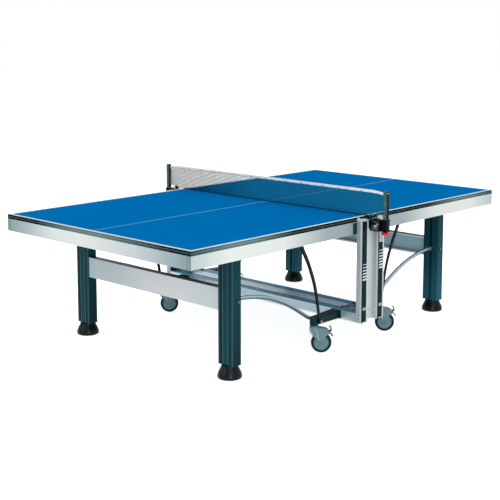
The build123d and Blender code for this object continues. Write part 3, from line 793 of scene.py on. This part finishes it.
# ---------------------------------------------------------------- posts
INSERT_PROFILE = [(-INSERT_HALF, -1.4), (INSERT_HALF, -1.4), (INSERT_HALF, -0.4), (15, 0.2), (7, 0.2),
                  (5.5, -0.3), (-5.5, -0.3), (-7, 0.2), (-15, 0.2), (-INSERT_HALF, -0.4)]
CLIP_OUTLINE = [(-17, -6), (-14, -8.5), (14, -8.5), (17, -6), (17, 6), (14, 8.5), (-14, 8.5), (-17, 6)]
CLIP_Z = 240.0
POST_SCREW_Y, POST_SCREWS_Z = 796, (182, 206)
RIM_Z = (post_z1 - 1.5, post_z1 + 2.5)
for half, s in HALVES:
    for side, t in SIDES:
        tag = f"{half}_{side}"
        # insert: a shallow moulded strip in the post's outer channel
        bm = bmesh.new()
        ring = [(s * (post_u + a), t * (post_y1 + b)) for a, b in INSERT_PROFILE]
        add_loft(bm, [[(*p, z) for p in ring] for z in (post_z0 + 5.5, post_z1 - 1)])
        piece(f"post_insert_{tag}", bm, INSERT, "chassis")
        bm = bmesh.new()
        add_loft(bm, [[(s * (post_u + f * a), t * (post_y1 + y), CLIP_Z + f * b) for a, b in CLIP_OUTLINE]
                      for f, y in ((1.0, 0.1), (0.92, 4.0))])
        piece(f"post_clip_{tag}", bm, CLIP, "chassis", bevel=0.8)
        bm = bmesh.new()
        add_screw(bm, (s * post_u, t * (post_y1 + 3.8), CLIP_Z), (0, t, 0), 2.8, 2.4)
        for z in POST_SCREWS_Z:
            add_screw(bm, (s * (post_u1 - 0.1), t * POST_SCREW_Y, z), (s, 0, 0), 2.4, 2.0)
        piece(f"post_screws_{tag}", bm, STEEL, "chassis")
        # a light rim round the post's open top
        bm = bmesh.new()
        for us in ((post_u0 + 1, post_u0 + 3.6), (post_u1 - 3.6, post_u1 - 1)):
            add_box(bm, (s * us[0], s * us[1]), (t * (post_y0 + 0.4), t * (post_y1 - 0.4)), RIM_Z)
        add_box(bm, (s * (post_u0 + 1), s * (post_u1 - 1)), (t * (post_y1 - 3.8), t * (post_y1 - 0.4)), RIM_Z)
        piece(f"post_cover_{tag}", bm, SILVER, "chassis", bevel=0.6)

# ---------------------------------------------------------------- cross beam
RIBS = 7
RIB_PITCH = 9.0
RIB_FIRST = 44  # the innermost rib, from the beam's middle
RIB_HALF = 2
COVER_HALF = 7.8
beam_ys = (-beam_y + 0.5, beam_y - 0.5)
bm = bmesh.new()
for k in (-1, 1):
    for i in range(RIBS):
        x = k * (RIB_FIRST + RIB_PITCH * i)
        add_box(bm, (x - RIB_HALF, x + RIB_HALF), beam_ys, (beam_z1 - 0.2, beam_z1 + 0.9))
piece("beam_ribs", bm, RIB, "chassis", bevel=0.3)
bm = bmesh.new()
add_box(bm, (-COVER_HALF, COVER_HALF), beam_ys, (beam_z1 - 5, beam_z1 - 1.2))
piece("beam_cover", bm, PALE, "chassis", bevel=0.4)

# ---------------------------------------------------------------- caster arms
ARM_HALF = 24.0
ARM_DROP = 9.0  # how much lower the arm's top is at the caster than at the beam
ARM_LOW_Z = 165.4
ARM_SCREW = (262, 172)  # distance from the net, and height
ARM_BOLTS_Y, ARM_BOLTS_Z = (-29, 29), (171, 203)
for half, s in HALVES:
    for side, t in SIDES:
        tag = f"{half}_{side}"
        bm = bmesh.new()
        add_screw(bm, (s * ARM_SCREW[0], t * (caster_y + ARM_HALF - 0.2), ARM_SCREW[1]), (0, t, 0), 4.6, 3.0)
        piece(f"arm_screw_{tag}", bm, ZINC, "chassis")
        bm = bmesh.new()
        for y in ARM_BOLTS_Y:
            for z in ARM_BOLTS_Z:
                add_screw(bm, (s * (arm_u0 + 4.9), t * (caster_y + y), z), (s, 0, 0), 4.0, 3.2)
        top = [(s * (arm_u0 + 7), arm_z1 - 0.2), (s * caster_u, arm_z1 - ARM_DROP)]
        low = [(s * (arm_u0 + 7), ARM_LOW_Z), (s * caster_u, ARM_LOW_Z)]
        for k in (-1, 1):
            ys = (t * (caster_y + k * (ARM_HALF - 1)), t * (caster_y + k * (ARM_HALF + 0.9)))
            for (x0, z0), (x1, z1) in (top, low):
                add_slab(bm, [(x0, z0 - 1.8), (x1, z1 - 1.8), (x1, z1 + 1.2), (x0, z0 + 1.2)], ys)
        piece(f"arm_rims_{tag}", bm, BLACK, "chassis", bevel=0.5)

# ---------------------------------------------------------------- casters
# A caster is drawn about its stem, with its trail along x, and then put in its place. Lines are (x, z).
CHEEK_IN = 18.5
FORK_HALF = 22.0
CROWN_Z = 146.0
HOOD_LINE = [(26, 0, CROWN_Z), (60, 0, 141), (79, 0, 131), (91, 0, 116)]
FORK_RIBS = (([(4, 143), (14, 130), (17, 112), (27, 72)], 5, 2.4),
             ([(-19, 141), (-19, 124), (-9, 108)], 4, 1.6))  # line, width and rise
HALF_TREAD = [(wheel_r - 12.6, 11), (wheel_r - 12, 12.8), (wheel_r - 8, 13.8), (wheel_r - 3.4, 12.6),
              (wheel_r - 0.8, 8.6), (wheel_r, 4), (wheel_r, 1.6), (wheel_r - 0.7, 1.2)]
HUB_FACE = [(5.2, 16.8), (10.5, 16.8), (12, 15.6), (13, 12), (16, 10.8), (36, 10.8), (38.5, 11.6), (40, 13.2),
            (43.6, 13.8), (wheel_r - 12.8, 12.6), (wheel_r - 12.8, 0)]
SPOKES = 5
PEDAL_TOP = [(brake_u, 0, brake_z), (94, 0, 128), (95, 0, 142), (86, 0, 153)]
PEDAL_LOW = [(brake_u, 0, brake_z), (95, 0, 107.5), (106, 0, 95)]
for half, s in HALVES:
    for side, t in SIDES:
        tag = f"{half}_{side}"
        put = Matrix.Translation((s * caster_u * MM, t * caster_y * MM, 0)) @ Matrix.Rotation(swing, 4, "Z")
        body = f"{half}_caster_{side}"
        hub = (trail, 0, wheel_r)
        # fork: two cheeks and a hood over the wheel, under a round crown
        hood = [(p.x, p.z) for p in curve_points(HOOD_LINE, 5)]
        boss = [(trail + x, wheel_r + z) for x, z in circle(15, 16, math.radians(15), -math.radians(240))]
        front, rear = [(76, 106), (64, 94), (56, wheel_r + 15)], [(-7, 98), (-25, 122), (-25, CROWN_Z)]
        cheek = hood + front + boss + rear
        bm = bmesh.new()
        for k in (-1, 1):
            add_slab(bm, cheek, (k * CHEEK_IN, k * FORK_HALF))
            add_lathe(bm, [(12, 0), (13.2, 0), (12.6, 2.2), (9, 2.2), (9, 0)],
                      (trail, k * FORK_HALF, wheel_r), (0, k, 0), 36)
        add_strip(bm, [(-7, 0, 99), (-24, 0, 122), (-24, 0, CROWN_Z - 1.2)], (19, 19), 2.8)
        add_strip(bm, [(x, 0, z - 1.4) for x, z in [(-25, CROWN_Z)] + hood[:-3]], (19, 19), 2.8)
        add_lathe(bm, [(0, 0), (22, 0), (25, 1.5), (26, 4), (26, 9), (25, 10), (0, 10)],
                  (0, 0, CROWN_Z - 0.2), (0, 0, 1), 44)
        fork = piece(f"caster_housing_{tag}", bm, GREY, f"{body}_swivel", bevel=0.9,
                     place=put)
        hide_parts(f"{half}_caster_fork_{side}")
        # ribs on the fork's cheeks, in a lighter colour as a painted highlight
        bm = bmesh.new()
        for k in (-1, 1):
            for line, width, rise in FORK_RIBS:
                add_rib(bm, line, k * FORK_HALF, width, rise)
        piece(f"caster_ribs_{tag}", bm, FORK_RIB, f"{body}_swivel", place=put)
        bm = bmesh.new()
        for k in (-1, 1):
            add_screw(bm, (trail, k * FORK_HALF, wheel_r), (0, k, 0), 4.6, 3.6)
            add_peg(bm, (brake_u, k * FORK_HALF, brake_z), (0, k, 0), 4.2, 2)
        add_peg(bm, (0, 0, CROWN_Z + 9.6), (0, 0, 1), 5.9, 13)
        piece(f"caster_axle_{tag}", bm, STEEL, f"{body}_swivel", place=put)
        # wheel: a tyre with shoulders and a dished grey hub
        bm = bmesh.new()
        tread = [(r, -h) for r, h in HALF_TREAD] + HALF_TREAD[::-1]
        add_lathe(bm, tread + tread[:1], hub, (0, 1, 0), 72)
        tyre = piece(f"caster_tyre_{tag}", bm, TYRE, f"{body}_wheel", place=put)
        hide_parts(f"{half}_caster_wheel_{side}")
        bm = bmesh.new()
        back = [(r, -h) for r, h in HUB_FACE[::-1][1:]]
        add_lathe(bm, HUB_FACE + back + HUB_FACE[:1], hub, (0, 1, 0), 64)
        for k in (-1, 1):
            for i in range(SPOKES):
                turn = Matrix.Rotation(math.radians(360 / SPOKES * i + 18), 2)
                spoke = [turn @ Vector(p) for p in ((13, 2.6), (38, 1.6), (38, -1.6), (13, -2.6))]
                add_slab(bm, [(trail + x, wheel_r + z) for x, z in spoke], (k * 10, k * 12.2))
        piece(f"caster_hub_{tag}", bm, HUB, f"{body}_wheel", bevel=0.4, place=put)
        bm = bmesh.new()
        for k in (-1, 1):
            add_lathe(bm, [(39.5, 11), (40, 13.6), (42, 14), (45, 13.4), (45.5, 11), (39.5, 11)],
                      hub, (0, k, 0), 64)
        piece(f"caster_bead_{tag}", bm, BEAD, f"{body}_wheel", place=put)
        # brake pedal: a curled upper lever and a straight lower one on a barrel
        bm = bmesh.new()
        add_strip(bm, curve_points(PEDAL_TOP, 7), (15, 11), 5.0)
        add_strip(bm, curve_points(PEDAL_LOW, 6), (15, 12), 5.0)
        add_lathe(bm, [(0, 0), (5.5, 0), (5.5, 35), (0, 35)], (brake_u, -17.5, brake_z), (0, 1, 0), 24)
        pedal = piece(f"caster_brake_{tag}", bm, DARK, f"{body}_brake", bevel=0.8, place=put)
        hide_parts(f"{half}_caster_pedal_{side}")

# ---------------------------------------------------------------- legs and links
LEG_SCREW = (932, 412)  # distance from the net, and height, as is the link's screw
LEG_BOLTS_Y, LEG_BOLT_Z = (-34, 34), 418
LINK_SCREW = (292, 185)
LINK_LINE = [(293, 200), (302, 258), (321, 348), (342, 420), (375, 500), (400, 550), (431, 602), (474, 686)]
for half, s in HALVES:
    for side, t in SIDES:
        tag = f"{half}_{side}"
        bm = bmesh.new()
        add_screw(bm, (s * LEG_SCREW[0], t * (leg_out - 0.2), LEG_SCREW[1]), (0, t, 0), 5.0, 4.0)
        for y in LEG_BOLTS_Y:
            add_screw(bm, (s * (leg_u - 32.1), t * (leg_y + y), LEG_BOLT_Z), (-s, 0, 0), 3.2, 2.6)
        piece(f"leg_screws_{tag}", bm, STEEL, f"{half}_legs")
        # a thin black shoe that closes the extrusion's lower end
        bm = bmesh.new()
        ring = []
        for cx, cy, start in ((26, 49, 0), (-26, 49, 90), (-26, -49, 180), (26, -49, 270)):
            ring += [(cx + x, cy + y) for x, y in circle(6.2, 5, math.radians(start), math.radians(112.5))]
        add_loft(bm, [[(s * leg_u + f * x, t * leg_y + f * y, leg_z0 + z) for x, y in ring]
                      for f, z in ((0.90, -1.1), (0.985, -0.9), (0.985, 0), (0.97, 0))], caps=False)
        piece(f"leg_shoe_{tag}", bm, BLACK, f"{half}_legs")
        bm = bmesh.new()
        line = [Vector((s * p.x, 0, p.z)) for p in curve_points([(x, 0, z) for x, z in LINK_LINE], 3)]
        add_screw(bm, (s * LINK_SCREW[0], t * (link_face - 0.2), LINK_SCREW[1]), (0, t, 0), 4.6, 3.6)
        # a raised centre rib, in a lighter colour as a painted highlight
        add_rib(bm, [(p.x, p.z) for p in line], t * (link_face - 5), 3.2, 0.9)
        piece(f"link_trim_{tag}", bm, LINK_RIB_HIGHLIGHT, f"{half}_links")
        # a black cover strip, slightly wider than the link
        bm = bmesh.new()
        rings = []
        for i, (p, d) in enumerate(along(line)):
            n = Vector((-d.z, 0, d.x)) * (9.0 + 4.0 * i / (len(line) - 1))
            inner, outer = link_face - 12, link_face - 6
            rings.append([p + k * n + Vector((0, t * y, 0))
                          for k, y in ((-1, inner), (1, inner), (1, outer), (-1, outer))])
        add_loft(bm, rings)
        piece(f"link_cover_{tag}", bm, BLACK, f"{half}_links", bevel=1.0)


# ---------------------------------------------------------------- stage, lights and camera
def light(name, loc, target, size, power):
    """Adds a round soft lamp that looks at a target, in metres and watts."""
    data = bpy.data.lights.new(name, "AREA")
    data.shape = "DISK"
    data.size = size
    data.energy = power
    o = bpy.data.objects.new(name, data)
    bpy.context.scene.collection.objects.link(o)
    o.location = loc
    o.rotation_mode = "QUATERNION"
    o.rotation_quaternion = (Vector(target) - Vector(loc)).to_track_quat("-Z", "Y")


light("key", (-5.0, -8.0, 4.6), (0, -0.2, 0.4), 5.0, 104)
light("fill", (-8.0, 2.0, 3.4), (-0.4, 0, 0.4), 4.0, 58)
light("over", (0.8, 1.4, 7.5), (0, 0, 0.6), 6.0, 84)
light("low", (-4.6, -5.4, 0.8), (0.1, 0.2, 0.25), 3.0, 90)

floor_mesh = bpy.data.meshes.new("floor")
FLOOR = 40  # half its width, in metres
floor_mesh.from_pydata([(x * FLOOR, y * FLOOR, 0) for x, y in ((-1, -1), (1, -1), (1, 1), (-1, 1))], [],
                       [(0, 1, 2, 3)])
floor = bpy.data.objects.new("floor", floor_mesh)
bpy.context.scene.collection.objects.link(floor)


def seen_by_eye(tree, unseen, seen):
    """A value for the camera's, glossy and transmission rays, and another for the rays that light things."""
    path = tree.nodes.new("ShaderNodeLightPath")
    rays = path.outputs["Is Camera Ray"]
    for other in ("Is Glossy Ray", "Is Transmission Ray"):
        either = tree.nodes.new("ShaderNodeMath")
        either.operation = "MAXIMUM"
        tree.links.new(rays, either.inputs[0])
        tree.links.new(path.outputs[other], either.inputs[1])
        rays = either.outputs[0]
    choice = tree.nodes.new("ShaderNodeMapRange")
    tree.links.new(rays, choice.inputs[0])
    choice.inputs[3].default_value = unseen
    choice.inputs[4].default_value = seen
    return choice.outputs[0]


floor_mat = bpy.data.materials.new("floor_pale")
floor_mat.use_nodes = True
pale = floor_mat.node_tree.nodes["Principled BSDF"].inputs
pale["Base Color"].default_value = (0.86, 0.86, 0.86, 1)
pale["Roughness"].default_value = 0.9
pale["Emission Color"].default_value = (1, 1, 1, 1)
floor_mat.node_tree.links.new(seen_by_eye(floor_mat.node_tree, 0.0, 0.74), pale["Emission Strength"])
floor_mesh.materials.append(floor_mat)

world = bpy.data.worlds.new("studio")
bpy.context.scene.world = world
world.use_nodes = True
sky = world.node_tree.nodes["Background"].inputs
sky["Color"].default_value = (1, 1, 1, 1)
world.node_tree.links.new(seen_by_eye(world.node_tree, 0.81, 1.0), sky["Strength"])

CAMERA_PLACE = (-4.73178, -4.33334, 1.78597)
CAMERA_AZIMUTH, CAMERA_ELEVATION = 46.566, 7.4  # degrees; the second is how far it looks down
CAMERA_LENS, CAMERA_SHIFT = 75.72, -0.16
cam_data = bpy.data.cameras.new("camera")
camera = bpy.data.objects.new("camera", cam_data)
bpy.context.scene.collection.objects.link(camera)
bpy.context.scene.camera = camera
cam_data.sensor_width = 36.0
cam_data.lens = CAMERA_LENS
cam_data.shift_y = CAMERA_SHIFT
cam_data.clip_end = 200
azimuth, elevation = math.radians(CAMERA_AZIMUTH), math.radians(CAMERA_ELEVATION)
look = Vector((math.sin(azimuth) * math.cos(elevation), math.cos(azimuth) * math.cos(elevation),
               -math.sin(elevation)))
camera.location = CAMERA_PLACE
camera.rotation_mode = "QUATERNION"
camera.rotation_quaternion = look.to_track_quat("-Z", "Y")
bpy.context.scene.view_settings.view_transform = "Standard"
